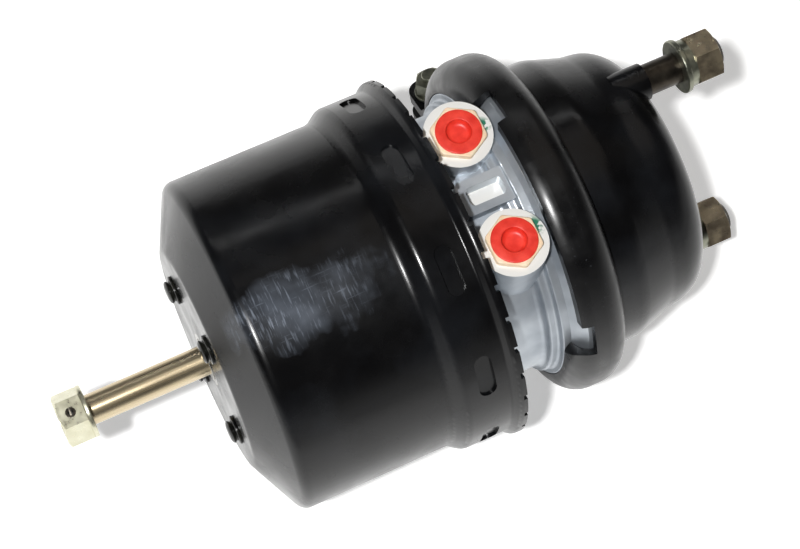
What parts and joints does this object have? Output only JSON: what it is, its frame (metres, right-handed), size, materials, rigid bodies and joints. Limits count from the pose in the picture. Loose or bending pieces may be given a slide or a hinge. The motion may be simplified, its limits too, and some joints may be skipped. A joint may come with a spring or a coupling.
{
  "type": "spring brake chamber",
  "caption": "Cylindrical air brake chamber with a crimped spring housing, cast flange body, clamped service housing, mounting studs and a hexagon-headed release bolt.",
  "frame": {"origin": "centre of the mounting face, on the chamber's axis", "axes": "+X along the axis towards the studs and the brake, +Z towards the side of the two air ports"},
  "size_m": [0.37, 0.206, 0.1926],
  "materials": {
    "black_paint": "gloss",
    "ring_paint": "gloss",
    "cast_aluminium": "satin",
    "yellow_zinc": "satin",
    "grey_zinc": "satin",
    "dark_stud": "satin",
    "olive_nut": "satin",
    "red_plug": "satin",
    "black_rubber": "matt",
    "spring_steel": "satin",
    "plain_steel": "satin",
    "bronze_bush": "matt"
  },
  "bodies": {
    "chamber": {"spring_housing": "black_paint", "release_boss": "plain_steel", "vent_plugs": "black_rubber", "flange_body": "cast_aluminium", "housing_seal": "black_rubber", "tube_bush": "bronze_bush", "tube_seals": "black_rubber", "parking_port_plug": "red_plug", "service_port_plug": "red_plug", "clamp_ring": "ring_paint", "clamp_bolt": "grey_zinc", "clamp_nut": "grey_zinc", "clamp_washer": "grey_zinc", "service_housing": "black_paint", "mounting_studs": "dark_stud", "stud_washers": "grey_zinc", "stud_lock_washers": "grey_zinc", "stud_nuts": "olive_nut", "diaphragm": "black_rubber", "gaiter": "black_rubber", "gaiter_retainer": "grey_zinc", "return_spring": "spring_steel", "power_spring": "spring_steel"},
    "pushrod": {"pushrod": "plain_steel", "pressure_plate": "plain_steel"},
    "parking_piston": {"parking_piston": "cast_aluminium", "piston_seal": "black_rubber", "piston_guide_band": "bronze_bush", "piston_tube": "plain_steel", "tube_nose": "plain_steel"},
    "release_thrust": {"thrust_washer": "grey_zinc"},
    "release_bolt": {"release_bolt": "yellow_zinc", "release_nut": "yellow_zinc", "release_roll_pin": "grey_zinc", "release_collar": "yellow_zinc"}
  },
  "joints": [
    {"name": "pushrod_stroke", "type": "slide", "parent": "chamber", "child": "pushrod", "axis": [1, 0, 0], "range_m": [0, 0.062], "stiffness_N_per_m": 1500, "springref_m": -0.06, "deforming": ["return_spring", "gaiter", "diaphragm"]},
    {"name": "parking_piston_lift", "type": "slide", "parent": "chamber", "child": "parking_piston", "axis": [1, 0, 0], "range_m": [-0.002, 0], "stiffness_N_per_m": 1000, "springref_m": 0.2, "deforming": ["power_spring"]},
    {"name": "release_bolt_travel", "type": "slide", "parent": "chamber", "child": "release_thrust", "axis": [1, 0, 0], "range_m": [0, 0.061]},
    {"name": "release_bolt_turn", "type": "hinge", "parent": "release_thrust", "child": "release_bolt", "pos_m": [-0.2, 0, 0], "axis": [1, 0, 0], "range_deg": [0, 10982]}
  ],
  "couplings": [
    {"joint": "release_bolt_turn", "follows": "release_bolt_travel", "rad_per_m": 3141.6}
  ]
}
